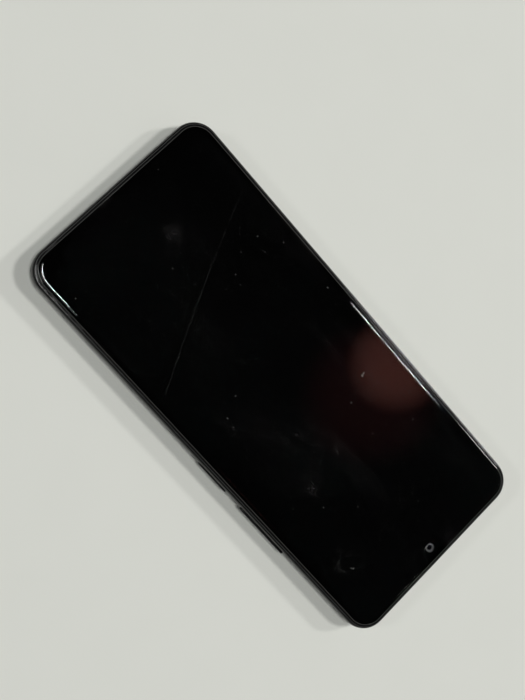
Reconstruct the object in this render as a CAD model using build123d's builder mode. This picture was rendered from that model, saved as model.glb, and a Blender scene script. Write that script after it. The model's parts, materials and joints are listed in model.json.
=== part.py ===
from build123d import *
import os

# A large-screen smartphone lying on its back: +X is the side with the keys, +Y is the top end, and
# +Z comes out of the screen. The origin is under the middle of the body, on the surface it lies on.
# All lengths are in millimetres.

os.makedirs("parts", exist_ok=True)

# ---------------------------------------------------------------- driving dimensions
body_width = 76.0
body_length = 168.0
body_thickness = 9.0
corner_radius = 8.4
camera_bump = 0.8
half_width = body_width / 2
half_length = body_length / 2
rear_z = camera_bump
front_z = rear_z + body_thickness

# The side profile. Each inset is measured inward from the widest outline.
girth_low_z = 4.4
girth_high_z = 7.0
shoulder_inset = 0.75
shoulder_z = front_z - 0.65
seat_z = front_z - 0.95
wall_inset = 2.6
parting_z = 2.6
rear_round_inset = 3.0
foot_inset = 4.2
foot_z = 1.75
rear_floor_z = rear_z + 0.8
skin_gap = 0.05

# The display stack.
bezel_inset = shoulder_inset + 0.05
bezel_z = front_z - 0.4
bezel_round = 0.2
glass_inset = 1.5
glass_thickness = 0.7
glass_z = front_z - glass_thickness
panel_z = 8.25
backlight_z = 7.3
panel_inset = 2.8
panel_bottom_y = -80.2
protector_inset = 2.75
protector_thickness = 0.3

# The middle of the body.
plate_z = 6.5
plate_top_z = 7.1
port_z = 4.8
main_board_z = 5.5
main_board_top_z = 6.2
sub_board_z = 5.4
sub_board_top_z = 6.1
cover_z = 1.75
cover_top_z = 2.35

# The earpiece slit, between the display bezel and the edge of the glass.
slit_x = (-5.5, 5.5)
slit_y = (half_length - 1.6, half_length - 1.05)

# Front camera, and the notch round it.
front_camera_x = 0.2
front_camera_y = 78.0
front_camera_barrel_radius = 1.5

# Keys on the +X side.
power_key_y = 7.1
power_key_length = 13.4
volume_key_y = 32.0
volume_key_length = 21.6
key_height = 2.4
key_z = 5.0
power_key_proud = 0.45
volume_key_proud = 0.65
key_gap = 0.15
key_wall_x = half_width - wall_inset
volume_pivot_x = 35.2
volume_rib_radius = 1.1

# The card tray on the -X side, and its eject mechanism.
tray_y = 50.0
tray_face_length = 31.0
tray_face_height = 2.0
tray_z = 4.6
tray_end_x = -19.0
eject_y = 36.6
lever_x = -16.6
lever_y = 41.0
lever_pin_radius = 0.5

# Sockets in the bottom end.
usb_width = 8.94
usb_height = 3.16
usb_wall = 0.3
jack_x = -19.0
jack_radius = 1.8
jack_nozzle_radius = 2.05
jack_length = 14.0
jack_mouth_y = -83.4
speaker_hole_x = 18.0

# Rear cameras: (x, y, half size of the module, lens radius).
island_x = 20.8
island_y = 62.0
island_width = 25.0
island_length = 34.0
island_radius = 6.0
main_camera = (26.0, 71.0, 5.5, 3.5)
ultrawide_camera_place = (26.0, 60.6, 4.4, 2.5)
depth_camera_place = (26.0, 51.2, 3.4, 1.7)
macro_camera_place = (15.0, 60.6, 3.4, 1.7)
flash_place = (15.0, 71.0)

# Screws.
screw_radius = 0.7
screw_hole_radius = 0.72
screw_head_radius = 1.2
screw_head_height = 0.35
screw_tip_z = 6.9
# Each screw is at (x, y), clamps a cover post that ends at a height, and enters a plate boss
# that starts at another, with the board between them where there is one.
upper_screws = [
    (-31.0, 69.0, main_board_z, main_board_top_z),
    (-14.8, 68.0, main_board_z, main_board_top_z),
    (-15.2, 52.0, main_board_z, main_board_top_z),
    (30.2, 40.5, main_board_z, main_board_top_z),
    (-26.0, 34.0, main_board_z, main_board_top_z),
    (-22.0, 76.5, main_board_z, main_board_z),
]
lower_screws = [
    (-30.5, -76.0, sub_board_z, sub_board_z),
    (-12.8, -76.0, sub_board_z, sub_board_top_z),
    (5.6, -71.0, sub_board_z, sub_board_top_z),
    (31.3, -63.3, 6.4, 6.4),
]


# ---------------------------------------------------------------- helpers
def write_step(builder, node_name):
    """Label the finished piece and write its STEP file."""
    builder.part.label = node_name
    export_step(builder.part, "parts/" + node_name + ".step")


def slab(x, y, z, mode=Mode.ADD):
    """A box between two values on each axis."""
    middle = ((x[0] + x[1]) / 2, (y[0] + y[1]) / 2, (z[0] + z[1]) / 2)
    with Locations(middle):
        Box(x[1] - x[0], y[1] - y[0], z[1] - z[0], mode=mode)


def post(x, y, z, radius, mode=Mode.ADD):
    """A cylinder standing between two heights."""
    with Locations((x, y, (z[0] + z[1]) / 2)):
        Cylinder(radius, z[1] - z[0], mode=mode)


def outline_plate(inset, z, mode=Mode.ADD):
    """A plate with the body's rounded outline, drawn in by an inset."""
    with BuildSketch(Plane.XY.offset(z[0])) as profile:
        RectangleRounded(body_width - 2 * inset, body_length - 2 * inset, corner_radius - inset)
    extrude(profile.sketch, amount=z[1] - z[0], mode=mode)


def rounded_plate(center, size, radius, z, mode=Mode.ADD):
    """A rounded rectangular plate between two heights."""
    with BuildSketch(Plane.XY.offset(z[0])) as profile:
        with Locations(center):
            RectangleRounded(size[0], size[1], radius)
    extrude(profile.sketch, amount=z[1] - z[0], mode=mode)


def ribbon(x, points):
    """A flat cable: a closed profile in Y and Z, drawn out between two values of X."""
    with BuildSketch(Plane.YZ.offset(x[0])) as profile:
        with BuildLine():
            Polyline(*points, close=True)
        make_face()
    extrude(profile.sketch, amount=x[1] - x[0])


def rim_path():
    """The widest outline of the body, starting in the middle of the +X side."""
    straight_x = half_width - corner_radius
    straight_y = half_length - corner_radius
    with BuildLine() as rim:
        Line((half_width, 0), (half_width, straight_y))
        CenterArc((straight_x, straight_y), corner_radius, 0, 90)
        Line((straight_x, half_length), (-straight_x, half_length))
        CenterArc((-straight_x, straight_y), corner_radius, 90, 90)
        Line((-half_width, straight_y), (-half_width, -straight_y))
        CenterArc((-straight_x, -straight_y), corner_radius, 180, 90)
        Line((-straight_x, -half_length), (straight_x, -half_length))
        CenterArc((straight_x, -straight_y), corner_radius, 270, 90)
        Line((half_width, -straight_y), (half_width, 0))
    return rim.wire()


# The section plane at the start of the rim: its x runs inward and its y runs up.
rim_section = Plane(origin=(half_width, 0, 0), x_dir=(-1, 0, 0), z_dir=(0, 1, 0))
rim = rim_path()
lower_rise = girth_low_z - rear_z


def lower_inset(z):
    """How far the rounded rear edge has drawn in at a height."""
    drop = (girth_low_z - z) / lower_rise
    return rear_round_inset * (1 - (1 - drop**2) ** 0.5)


def lower_angle(z):
    """The angle on the rear edge's ellipse at a height, from the widest point."""
    drop = (girth_low_z - z) / lower_rise
    return degrees_of_sine(drop)


def degrees_of_sine(value):
    """The angle in degrees whose sine is the value."""
    return Vector(1, 0, 0).get_angle(Vector((1 - value**2) ** 0.5, value, 0))


# ---------------------------------------------------------------- housing
# The side frame is a ring with an elliptical shoulder at the front and another at the rear.
with BuildPart() as side_frame:
    with BuildSketch(rim_section):
        with BuildLine():
            EllipticalCenterArc(
                (shoulder_inset, girth_high_z),
                shoulder_inset,
                shoulder_z - girth_high_z,
                90,
                arc_size=90,
            )
            Line((0, girth_high_z), (0, girth_low_z))
            EllipticalCenterArc(
                (rear_round_inset, girth_low_z),
                rear_round_inset,
                lower_rise,
                180,
                arc_size=lower_angle(parting_z),
            )
            Polyline(
                (lower_inset(parting_z), parting_z),
                (1.4, parting_z),
                (rear_round_inset, foot_z),
                (foot_inset, foot_z),
                (foot_inset, parting_z),
                (wall_inset, parting_z),
                (wall_inset, seat_z),
                (shoulder_inset, seat_z),
                (shoulder_inset, shoulder_z),
            )
        make_face()
    sweep(path=rim)
    # Slots for the keys.
    with BuildSketch(Plane.YZ.offset(key_wall_x - 0.5)):
        with Locations((power_key_y, key_z)):
            SlotOverall(power_key_length + 2 * key_gap, key_height + 2 * key_gap)
        with Locations((volume_key_y, key_z)):
            SlotOverall(volume_key_length + 2 * key_gap, key_height + 2 * key_gap)
    extrude(amount=4, mode=Mode.SUBTRACT)
    # Slot for the card tray.
    with BuildSketch(Plane.YZ.offset(-half_width - 1)):
        with Locations((tray_y, tray_z)):
            SlotOverall(tray_face_length + 0.3, tray_face_height + 0.3)
    extrude(amount=4.5, mode=Mode.SUBTRACT)
    # Openings in the bottom end: USB socket, audio jack, microphone and loudspeaker.
    with BuildSketch(Plane.XZ.offset(half_length + 1)):
        with Locations((0, port_z)):
            SlotOverall(usb_width + 0.16, usb_height + 0.16)
        with Locations((jack_x, port_z)):
            Circle(jack_nozzle_radius + 0.05)
        with Locations((8.6, port_z)):
            Circle(0.5)
        with Locations((speaker_hole_x, port_z)):
            with GridLocations(2.1, 1, 6, 1):
                Circle(0.65)
    extrude(amount=-5, mode=Mode.SUBTRACT)
    # Upper microphone hole.
    with BuildSketch(Plane.XZ.offset(-half_length - 1)):
        with Locations((15, port_z)):
            Circle(0.5)
    extrude(amount=5, mode=Mode.SUBTRACT)
    # The passage from the earpiece slit to the receiver.
    slab(slit_x, slit_y, (7.3, front_z), Mode.SUBTRACT)
    slab((-6, 6), (half_length - wall_inset - 0.5, slit_y[1]), (7.3, 8), Mode.SUBTRACT)
write_step(side_frame, "side_frame")

# The rear cover is a shallow dish whose rim meets the frame at the parting line.
cover_rim_z = parting_z - skin_gap
with BuildPart() as rear_cover:
    with BuildSketch(rim_section):
        with BuildLine():
            EllipticalCenterArc(
                (rear_round_inset, girth_low_z),
                rear_round_inset,
                lower_rise,
                180 + lower_angle(cover_rim_z),
                arc_size=90 - lower_angle(cover_rim_z),
            )
            Polyline(
                (rear_round_inset, rear_z),
                (5, rear_z),
                (5, rear_floor_z),
                (rear_round_inset + 0.1, rear_floor_z),
                (1.3, cover_rim_z),
                (lower_inset(cover_rim_z), cover_rim_z),
            )
        make_face()
    sweep(path=rim)
    with BuildSketch(Plane.XY.offset(rear_z)):
        RectangleRounded(body_width - 10, body_length - 10, corner_radius - 5)
    extrude(amount=rear_floor_z - rear_z)
    rounded_plate(
        (island_x, island_y),
        (island_width + 2 * skin_gap, island_length + 2 * skin_gap),
        island_radius + skin_gap,
        (rear_z - 1, rear_floor_z + 1),
        Mode.SUBTRACT,
    )
write_step(rear_cover, "rear_cover")

with BuildPart() as rear_cover_adhesive:
    outline_plate(rear_round_inset + 0.2, (rear_floor_z, foot_z))
    outline_plate(foot_inset, (rear_floor_z - 1, foot_z + 1), Mode.SUBTRACT)
write_step(rear_cover_adhesive, "rear_cover_adhesive")

# The mid plate carries the display in front and the boards behind, with a boss at each screw.
with BuildPart() as mid_plate:
    outline_plate(wall_inset, (plate_z, plate_top_z))
    for screw_x, screw_y, _, boss_z in upper_screws + lower_screws:
        post(screw_x, screw_y, (boss_z, plate_z), 1.3)
    for screw_x, screw_y, _, boss_z in upper_screws + lower_screws:
        post(screw_x, screw_y, (boss_z - 1, plate_top_z + 1), screw_hole_radius, Mode.SUBTRACT)
    # Front camera bay, earpiece duct, display flex slot and audio jack bay.
    slab((-3.3, 3.7), (74.5, 82), (6, 8), Mode.SUBTRACT)
    slab((-14, -7), (76.5, 80.5), (6, 8), Mode.SUBTRACT)
    slab((-15, -5), (-69.5, -64.5), (6, 8), Mode.SUBTRACT)
    slab((jack_x - 3.6, jack_x + 3.6), (-82, -68.6), (6, 8), Mode.SUBTRACT)
write_step(mid_plate, "mid_plate")

# ---------------------------------------------------------------- display
with BuildPart() as cover_glass:
    outline_plate(glass_inset, (glass_z, front_z))
    fillet(cover_glass.faces().sort_by(Axis.Z)[-1].edges(), radius=0.45)
write_step(cover_glass, "cover_glass")

# A thin plastic ring frames the glass and stands a little above the frame's shoulder.
bezel_inner_inset = glass_inset - 0.05
with BuildPart() as display_bezel:
    with BuildSketch(rim_section):
        with BuildLine():
            Polyline(
                (bezel_inset, bezel_z - bezel_round),
                (bezel_inset, seat_z),
                (bezel_inner_inset, seat_z),
                (bezel_inner_inset, bezel_z),
                (bezel_inset + bezel_round, bezel_z),
            )
            CenterArc((bezel_inset + bezel_round, bezel_z - bezel_round), bezel_round, 90, 90)
        make_face()
    sweep(path=rim)
    slab(slit_x, slit_y, (seat_z - 1, bezel_z + 1), Mode.SUBTRACT)
write_step(display_bezel, "display_bezel")

# The protector is a thin glass plate with a rounded cut-out in front of the camera.
notch_half_width = 3.6
notch_flare = 1.6
notch_bottom_y = 76.4
notch_shoulder_y = notch_bottom_y + 2.4
notch_left_x = front_camera_x - notch_half_width
notch_right_x = front_camera_x + notch_half_width
protector_edge_y = half_length - protector_inset
notch_mouth_y = protector_edge_y + 1
with BuildPart() as screen_protector:
    outline_plate(protector_inset, (front_z, front_z + protector_thickness))
    with BuildSketch(Plane.XY.offset(front_z - 1)):
        with BuildLine():
            Polyline(
                (notch_left_x - notch_flare, notch_mouth_y),
                (notch_left_x - notch_flare, protector_edge_y),
                (notch_left_x, protector_edge_y - notch_flare),
                (notch_left_x, notch_shoulder_y),
            )
            ThreePointArc(
                (notch_left_x, notch_shoulder_y),
                (front_camera_x, notch_bottom_y),
                (notch_right_x, notch_shoulder_y),
            )
            Polyline(
                (notch_right_x, notch_shoulder_y),
                (notch_right_x, protector_edge_y - notch_flare),
                (notch_right_x + notch_flare, protector_edge_y),
                (notch_right_x + notch_flare, notch_mouth_y),
                (notch_left_x - notch_flare, notch_mouth_y),
            )
        make_face()
    extrude(amount=3, mode=Mode.SUBTRACT)
    chamfer(screen_protector.faces().sort_by(Axis.Z)[-1].edges(), length=0.12)
write_step(screen_protector, "screen_protector")

with BuildPart() as display_adhesive:
    outline_plate(1.75, (seat_z, glass_z))
    outline_plate(2.55, (seat_z - 1, glass_z + 1), Mode.SUBTRACT)
    # A break in the ring lets sound through to the earpiece slit.
    slab((-6, 6), (half_length - 3, half_length), (seat_z - 1, glass_z + 1), Mode.SUBTRACT)
write_step(display_adhesive, "display_adhesive")


def display_layer(z, inset):
    """One layer of the display, cut out round the front camera and the light sensor."""
    outline_plate(inset, z)
    slab((-40, 40), (-90, panel_bottom_y + inset - panel_inset), (z[0] - 1, z[1] + 1), Mode.SUBTRACT)
    slab((-4.4, 6.8), (74.4, 85), (z[0] - 1, z[1] + 1), Mode.SUBTRACT)


with BuildPart() as display_panel:
    display_layer((panel_z, glass_z), panel_inset)
write_step(display_panel, "display_panel")

with BuildPart() as backlight_unit:
    display_layer((backlight_z, panel_z), panel_inset + 0.4)
write_step(backlight_unit, "backlight_unit")

# The display's flex folds under the backlight and drops through the mid plate to the sub board.
with BuildPart() as display_flex:
    ribbon(
        (-14, -6),
        [
            (-80.2, 8.6),
            (-80.65, 8.6),
            (-80.65, 7.1),
            (-68.6, 7.1),
            (-66.6, 6.4),
            (-64.9, 6.4),
            (-64.9, 6.55),
            (-66.5, 6.55),
            (-68.5, 7.25),
            (-80.5, 7.25),
            (-80.5, 8.4),
            (-80.2, 8.4),
        ],
    )
write_step(display_flex, "display_flex")

with BuildPart() as display_driver_chip:
    slab((-13, -7), (-69.3, -68.75), (6.8, 7.1))
write_step(display_driver_chip, "display_driver_chip")

# ---------------------------------------------------------------- front sensors and earpiece
with BuildPart() as front_camera:
    slab((front_camera_x - 3, front_camera_x + 3), (75, 81), (4.8, 7.6))
    post(front_camera_x, front_camera_y, (7.6, 8.9), front_camera_barrel_radius)
    post(front_camera_x, front_camera_y, (8.3, 9), 0.9, Mode.SUBTRACT)
write_step(front_camera, "front_camera")

with BuildPart() as front_camera_lens:
    post(front_camera_x, front_camera_y, (8.3, 8.7), 0.88)
    fillet(front_camera_lens.faces().sort_by(Axis.Z)[-1].edges(), radius=0.3)
write_step(front_camera_lens, "front_camera_lens")

with BuildPart() as light_sensor:
    slab((4.4, 6.4), (79.8, 81), (plate_top_z, 7.9))
write_step(light_sensor, "light_sensor")

with BuildPart() as earpiece_receiver:
    slab((-17, -5), (73.6, 80.6), (3.9, 6.4))
    fillet(earpiece_receiver.edges().filter_by(Axis.Z), radius=1.2)
write_step(earpiece_receiver, "earpiece_receiver")

with BuildPart() as earpiece_mesh:
    slab((-5.4, 5.4), (slit_y[0] + 0.15, slit_y[1] - 0.05), (8.4, 8.55))
write_step(earpiece_mesh, "earpiece_mesh")

# ---------------------------------------------------------------- boards
with BuildPart() as mainboard:
    slab((-34, 32), (26.5, 73), (main_board_z, main_board_top_z))
    slab((11.5, 33), (44, 74), (main_board_z - 1, main_board_top_z + 1), Mode.SUBTRACT)
    for screw_x, screw_y, *_ in upper_screws:
        board_span = (main_board_z - 1, main_board_top_z + 1)
        post(screw_x, screw_y, board_span, screw_hole_radius, Mode.SUBTRACT)
write_step(mainboard, "mainboard")

chip_places = [(-2, 62, 12, 12), (-3, 40.5, 9, 7), (6, 40.5, 4, 6), (20, 38.2, 10, 6), (5, 51, 6, 5)]
with BuildPart() as main_chips:
    for chip_x, chip_y, chip_w, chip_l in chip_places:
        with Locations((chip_x, chip_y, main_board_z - 0.55)):
            Box(chip_w, chip_l, 1.1)
write_step(main_chips, "main_chips")

can_places = [((-12.5, 10.5), (47, 72)), ((-12.5, 9.5), (35, 45.5)), ((12.5, 27), (33.5, 43))]
can_wall = 0.2
can_z = 3.9
with BuildPart() as shield_cans:
    for can_x, can_y in can_places:
        slab(can_x, can_y, (can_z, main_board_z))
        inner_x = (can_x[0] + can_wall, can_x[1] - can_wall)
        inner_y = (can_y[0] + can_wall, can_y[1] - can_wall)
        slab(inner_x, inner_y, (can_z + can_wall, main_board_z), Mode.SUBTRACT)
write_step(shield_cans, "shield_cans")

with BuildPart() as sub_board:
    slab((-15.2, 7.2), (-81, -70.5), (sub_board_z, sub_board_top_z))
    slab((-14, 7.2), (-70.5, -61), (sub_board_z, sub_board_top_z))
    slab((-4.7, 4.7), (-82, -76.1), (sub_board_z - 1, sub_board_top_z + 1), Mode.SUBTRACT)
    for screw_x, screw_y, *_ in lower_screws:
        board_span = (sub_board_z - 1, sub_board_top_z + 1)
        post(screw_x, screw_y, board_span, screw_hole_radius, Mode.SUBTRACT)
write_step(sub_board, "sub_board")

with BuildPart() as board_connectors:
    slab((-7.5, 3.5), (27.5, 31), (5.15, main_board_z))
    slab((10.5, 17.5), (27.5, 30.3), (5.15, main_board_z))
    slab((-7.5, 3.5), (-67, -64), (5.1, sub_board_z))
    slab((-13.5, -6.5), (-66.4, -65), (sub_board_top_z, 6.4))
write_step(board_connectors, "board_connectors")

with BuildPart() as microphones:
    slab((6.2, 8.4), (-80.9, -78.2), (4.4, sub_board_z))
    slab((7, 10.5), (73.1, 76), (4.6, 5.6))
write_step(microphones, "microphones")

contact_places = [(-28, 73.8), (-20, 71), (11, 34), (29, 35), (-11, -72), (-6.5, -78)]
with BuildPart() as antenna_contacts:
    for contact_x, contact_y in contact_places:
        contact_span = (contact_x - 0.6, contact_x + 0.6)
        slab(contact_span, (contact_y - 1.2, contact_y + 1.2), (cover_top_z, 2.6))
        slab(contact_span, (contact_y + 0.9, contact_y + 1.2), (2.6, 5.4))
write_step(antenna_contacts, "antenna_contacts")

# A thin coaxial cable runs up the channel beside the battery, from board to board.
cable_x = -33.2
cable_z = 4.85
cable_radius = 0.4
with BuildPart() as antenna_cable:
    with BuildLine() as cable_path:
        FilletPolyline(
            (-12.6, -61.7, cable_z),
            (cable_x, -61.7, cable_z),
            (cable_x, 29, cable_z),
            (-29, 29, cable_z),
            radius=2.5,
        )
    with BuildSketch(Plane(origin=cable_path.wire() @ 0, z_dir=(-1, 0, 0))):
        Circle(cable_radius)
    sweep(path=cable_path.wire())
    post(-12.6, -61.7, (cable_z - cable_radius, sub_board_z), 0.65)
    post(-29, 29, (cable_z - cable_radius, main_board_z), 0.9)
write_step(antenna_cable, "antenna_cable")

with BuildPart() as main_flex:
    ribbon(
        (-7.5, 3.5),
        [
            (-67.5, 4.95),
            (-62.3, 4.95),
            (-60.3, 1.8),
            (24.2, 1.8),
            (26.6, 5),
            (31.5, 5),
            (31.5, 5.15),
            (26.5, 5.15),
            (24.1, 1.95),
            (-60.2, 1.95),
            (-62.2, 5.1),
            (-67.5, 5.1),
        ],
    )
write_step(main_flex, "main_flex")

# ---------------------------------------------------------------- battery
with BuildPart() as battery:
    slab((-31, 31), (-59.5, 19.5), (2, 6.4))
    fillet(battery.edges().filter_by(Axis.Y), radius=1.6)
write_step(battery, "battery")

with BuildPart() as battery_protection_board:
    slab((-29, 29), (19.5, 23), (2.8, 5.6))
write_step(battery_protection_board, "battery_protection_board")

with BuildPart() as battery_flex:
    ribbon(
        (10.5, 17.5),
        [(23, 4.1), (24.5, 4.1), (26.1, 5), (30.5, 5), (30.5, 5.15), (26, 5.15), (24.4, 4.25), (23, 4.25)],
    )
write_step(battery_flex, "battery_flex")

# ---------------------------------------------------------------- inner covers and screws
def screw_seats(screws):
    """Posts up to the board, with a through hole and a counterbore for each screw head."""
    for screw_x, screw_y, post_top_z, _ in screws:
        post(screw_x, screw_y, (cover_top_z, post_top_z), 1.6)
    for screw_x, screw_y, post_top_z, _ in screws:
        post(screw_x, screw_y, (cover_z - 1, post_top_z + 1), screw_hole_radius, Mode.SUBTRACT)
        head_span = (cover_z - 1, cover_z + screw_head_height)
        post(screw_x, screw_y, head_span, screw_head_radius + 0.1, Mode.SUBTRACT)


def screw_group(screws):
    """Small pan-head screws, each with a cross recess."""
    for screw_x, screw_y, *_ in screws:
        post(screw_x, screw_y, (cover_z, cover_z + screw_head_height), screw_head_radius)
        post(screw_x, screw_y, (cover_z + screw_head_height, screw_tip_z), screw_radius)
        recess_z = (cover_z - 0.25, cover_z + 0.2)
        for arm_x, arm_y in [(0.7, 0.13), (0.13, 0.7)]:
            recess_x = (screw_x - arm_x, screw_x + arm_x)
            slab(recess_x, (screw_y - arm_y, screw_y + arm_y), recess_z, Mode.SUBTRACT)


with BuildPart() as upper_inner_cover:
    rounded_plate((0, 55.8), (66.8, 47.6), 5, (cover_z, cover_top_z))
    slab((7.5, 34), (44.5, 80), (cover_z - 1, cover_top_z + 1), Mode.SUBTRACT)
    screw_seats(upper_screws)
write_step(upper_inner_cover, "upper_inner_cover")

# The lower cover includes the loudspeaker's chamber, with its outlet facing the bottom end.
chamber_middle = (20.9, -70.5)
chamber_size = (24.2, 18.1)
with BuildPart() as lower_inner_cover:
    rounded_plate((0, -70), (66.8, 19.2), 5, (cover_z, cover_top_z))
    rounded_plate(chamber_middle, chamber_size, 3, (cover_top_z, 6.4))
    inner_size = (chamber_size[0] - 1.6, chamber_size[1] - 1.6)
    rounded_plate(chamber_middle, inner_size, 2.2, (cover_top_z, 7), Mode.SUBTRACT)
    slab((11.5, 24.5), (-80, -78), (3.7, 5.7), Mode.SUBTRACT)
    slab((-8.5, 4.5), (-64, -60), (cover_z - 1, cover_top_z + 1), Mode.SUBTRACT)
    screw_seats(lower_screws)
write_step(lower_inner_cover, "lower_inner_cover")

with BuildPart() as upper_cover_screws:
    screw_group(upper_screws)
write_step(upper_cover_screws, "upper_cover_screws")

with BuildPart() as lower_cover_screws:
    screw_group(lower_screws)
write_step(lower_cover_screws, "lower_cover_screws")

# ---------------------------------------------------------------- sound and vibration
with BuildPart() as loudspeaker_frame:
    slab((10.5, 28.5), (-77, -63.5), (2.5, 5.6))
    slab((11.3, 27.7), (-76.2, -64.3), (4.6, 5.6), Mode.SUBTRACT)
write_step(loudspeaker_frame, "loudspeaker_frame")

with BuildPart() as loudspeaker_diaphragm:
    slab((11.4, 27.6), (-76.1, -64.4), (5.1, 5.25))
    with BuildSketch(Plane.XY.offset(5.25)):
        with Locations((19.5, -70.25)):
            RectangleRounded(11, 7, 3)
    extrude(amount=0.25)
write_step(loudspeaker_diaphragm, "loudspeaker_diaphragm")

with BuildPart() as speaker_mesh:
    slab((11.6, 24.4), (-81.35, -81.2), (3.6, 5.8))
write_step(speaker_mesh, "speaker_mesh")

motor_x = -26.5
motor_y = -67.2
with BuildPart() as vibration_motor_can:
    post(motor_x, motor_y, (2.9, 6.1), 4.2)
    post(motor_x, motor_y, (3.1, 5.9), 4, Mode.SUBTRACT)
    post(motor_x, motor_y, (3.1, 5.9), 0.4)
write_step(vibration_motor_can, "vibration_motor_can")

with BuildPart() as vibration_motor_rotor:
    post(motor_x, motor_y, (3.4, 5.5), 3.6)
    slab((motor_x - 4, motor_x + 4), (motor_y + 0.9, motor_y + 4), (3, 6), Mode.SUBTRACT)
    post(motor_x, motor_y, (3, 6), 0.45, Mode.SUBTRACT)
write_step(vibration_motor_rotor, "vibration_motor_rotor")

# ---------------------------------------------------------------- sockets
with BuildPart() as usb_shell:
    with BuildSketch(Plane.XZ.offset(half_length - 0.4)):
        with Locations((0, port_z)):
            SlotOverall(usb_width, usb_height)
    extrude(amount=-7.3)
    with BuildSketch(Plane.XZ.offset(half_length)):
        with Locations((0, port_z)):
            SlotOverall(usb_width - 2 * usb_wall, usb_height - 2 * usb_wall)
    extrude(amount=-7.4, mode=Mode.SUBTRACT)
write_step(usb_shell, "usb_shell")

with BuildPart() as usb_tongue:
    slab((-3.345, 3.345), (-81.6, -77.4), (port_z - 0.35, port_z + 0.35))
    fillet(usb_tongue.edges().filter_by(Axis.Z).group_by(Axis.Y)[0], radius=0.6)
    slab((-3.6, 3.6), (-77.6, -76.62), (port_z - 1.1, port_z + 1.1))
write_step(usb_tongue, "usb_tongue")

# The jack's body sits behind the wall, and its round nozzle passes through it.
with BuildPart() as audio_jack:
    slab((jack_x - 3.1, jack_x + 3.1), (-81.3, jack_mouth_y + jack_length + 0.4), (2.62, 7))
    fillet(audio_jack.edges().filter_by(Axis.Y), radius=1)
    with BuildSketch(Plane.XZ.offset(-jack_mouth_y)):
        with Locations((jack_x, port_z)):
            Circle(jack_nozzle_radius)
    extrude(amount=-2.2)
    with BuildSketch(Plane.XZ.offset(-jack_mouth_y)):
        with Locations((jack_x, port_z)):
            Circle(jack_radius)
    extrude(amount=-jack_length, mode=Mode.SUBTRACT)
write_step(audio_jack, "audio_jack")

# ---------------------------------------------------------------- card tray
with BuildPart() as sim_tray:
    with BuildSketch(Plane.YZ.offset(-half_width + 0.1)):
        with Locations((tray_y, tray_z)):
            SlotOverall(tray_face_length, tray_face_height)
    extrude(amount=1.4)
    slab((-half_width + 1.5, tray_end_x), (38, 64.4), (4.1, 5.1))
    # Two small card pockets and a larger one, each with a ledge at the rear.
    for pocket_y, pocket_l, pocket_x in [(43, 8.8, 12.3), (52.4, 8.8, 12.3), (60, 4.6, 14)]:
        pocket_span = (pocket_y - pocket_l / 2, pocket_y + pocket_l / 2)
        slab((tray_end_x - 1.2 - pocket_x, tray_end_x - 1.2), pocket_span, (4.45, 6), Mode.SUBTRACT)
    # The hole for the eject pin.
    with BuildSketch(Plane.YZ.offset(-half_width)):
        with Locations((eject_y, tray_z)):
            Circle(0.45)
    extrude(amount=2, mode=Mode.SUBTRACT)
write_step(sim_tray, "sim_tray")

# The reader is a sheet-metal channel on the board, with a tab that carries the lever's pin.
with BuildPart() as sim_reader:
    slab((-34.8, -18.7), (37.2, 65.2), (3.55, main_board_z))
    slab((-36, -18), (37.5, 64.9), (3.75, main_board_z), Mode.SUBTRACT)
    slab((-18.9, -14.8), (38.4, 43.6), (3.55, 3.75))
    post(lever_x, lever_y, (3.75, main_board_z), lever_pin_radius)
write_step(sim_reader, "sim_reader")

with BuildPart() as sim_eject_rod:
    with BuildSketch(Plane.YZ.offset(-36.2)):
        with Locations((eject_y, tray_z)):
            Circle(0.4)
    extrude(amount=18.9)
write_step(sim_eject_rod, "sim_eject_rod")

with BuildPart() as sim_eject_lever:
    slab((lever_x - 0.6, lever_x + 0.6), (lever_y - 5.2, lever_y + 5.4), (4.2, 5))
    post(lever_x, lever_y, (4.2, 5), 1.1)
    fillet(sim_eject_lever.edges().filter_by(Axis.Z).group_by(Axis.Y)[0], radius=0.3)
    fillet(sim_eject_lever.edges().filter_by(Axis.Z).group_by(Axis.Y)[-1], radius=0.4)
    post(lever_x, lever_y, (4, 5.2), lever_pin_radius + 0.05, Mode.SUBTRACT)
write_step(sim_eject_lever, "sim_eject_lever")


# ---------------------------------------------------------------- keys
def key_cap(middle_y, length, root_x, proud):
    """A key's rounded cap, from inside the frame to a little outside it."""
    with BuildSketch(Plane.YZ.offset(root_x)) as cap:
        with Locations((middle_y, key_z)):
            SlotOverall(length, key_height)
    extrude(cap.sketch, amount=half_width + proud - root_x)


def key_flange(middle_y, length, x):
    """The wider flange behind a cap, which keeps the key in the frame."""
    slab(x, (middle_y - length / 2, middle_y + length / 2), (3.7, 6.3))


with BuildPart() as power_key:
    key_cap(power_key_y, power_key_length, 35, power_key_proud)
    fillet(power_key.faces().sort_by(Axis.X)[-1].edges(), radius=0.35)
    key_flange(power_key_y, power_key_length + 1.8, (34.95, 35.35))
write_step(power_key, "power_key")

with BuildPart() as volume_key:
    key_cap(volume_key_y, volume_key_length, 34.7, volume_key_proud)
    fillet(volume_key.faces().sort_by(Axis.X)[-1].edges(), radius=0.35)
    key_flange(volume_key_y, volume_key_length + 2, (34.65, 35.05))
    # The rounded rib that the key rocks on.
    post(volume_pivot_x, volume_key_y, (4, 6), volume_rib_radius)
write_step(volume_key, "volume_key")

with BuildPart() as key_support_plate:
    slab((33.5, 33.9), (-3, 46), (3.4, 6.3))
write_step(key_support_plate, "key_support_plate")

with BuildPart() as side_key_flex:
    slab((33.9, 34.05), (-2, 45), (3.7, 6.2))
write_step(side_key_flex, "side_key_flex")

with BuildPart() as key_domes:
    for dome_y, dome_x in [(power_key_y, 34.6), (volume_key_y - 5.5, 34.4), (volume_key_y + 5.5, 34.4)]:
        with BuildSketch(Plane.YZ.offset(34.05)):
            with Locations((dome_y, key_z)):
                Circle(1.1)
        extrude(amount=dome_x - 34.05)
write_step(key_domes, "key_domes")

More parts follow.
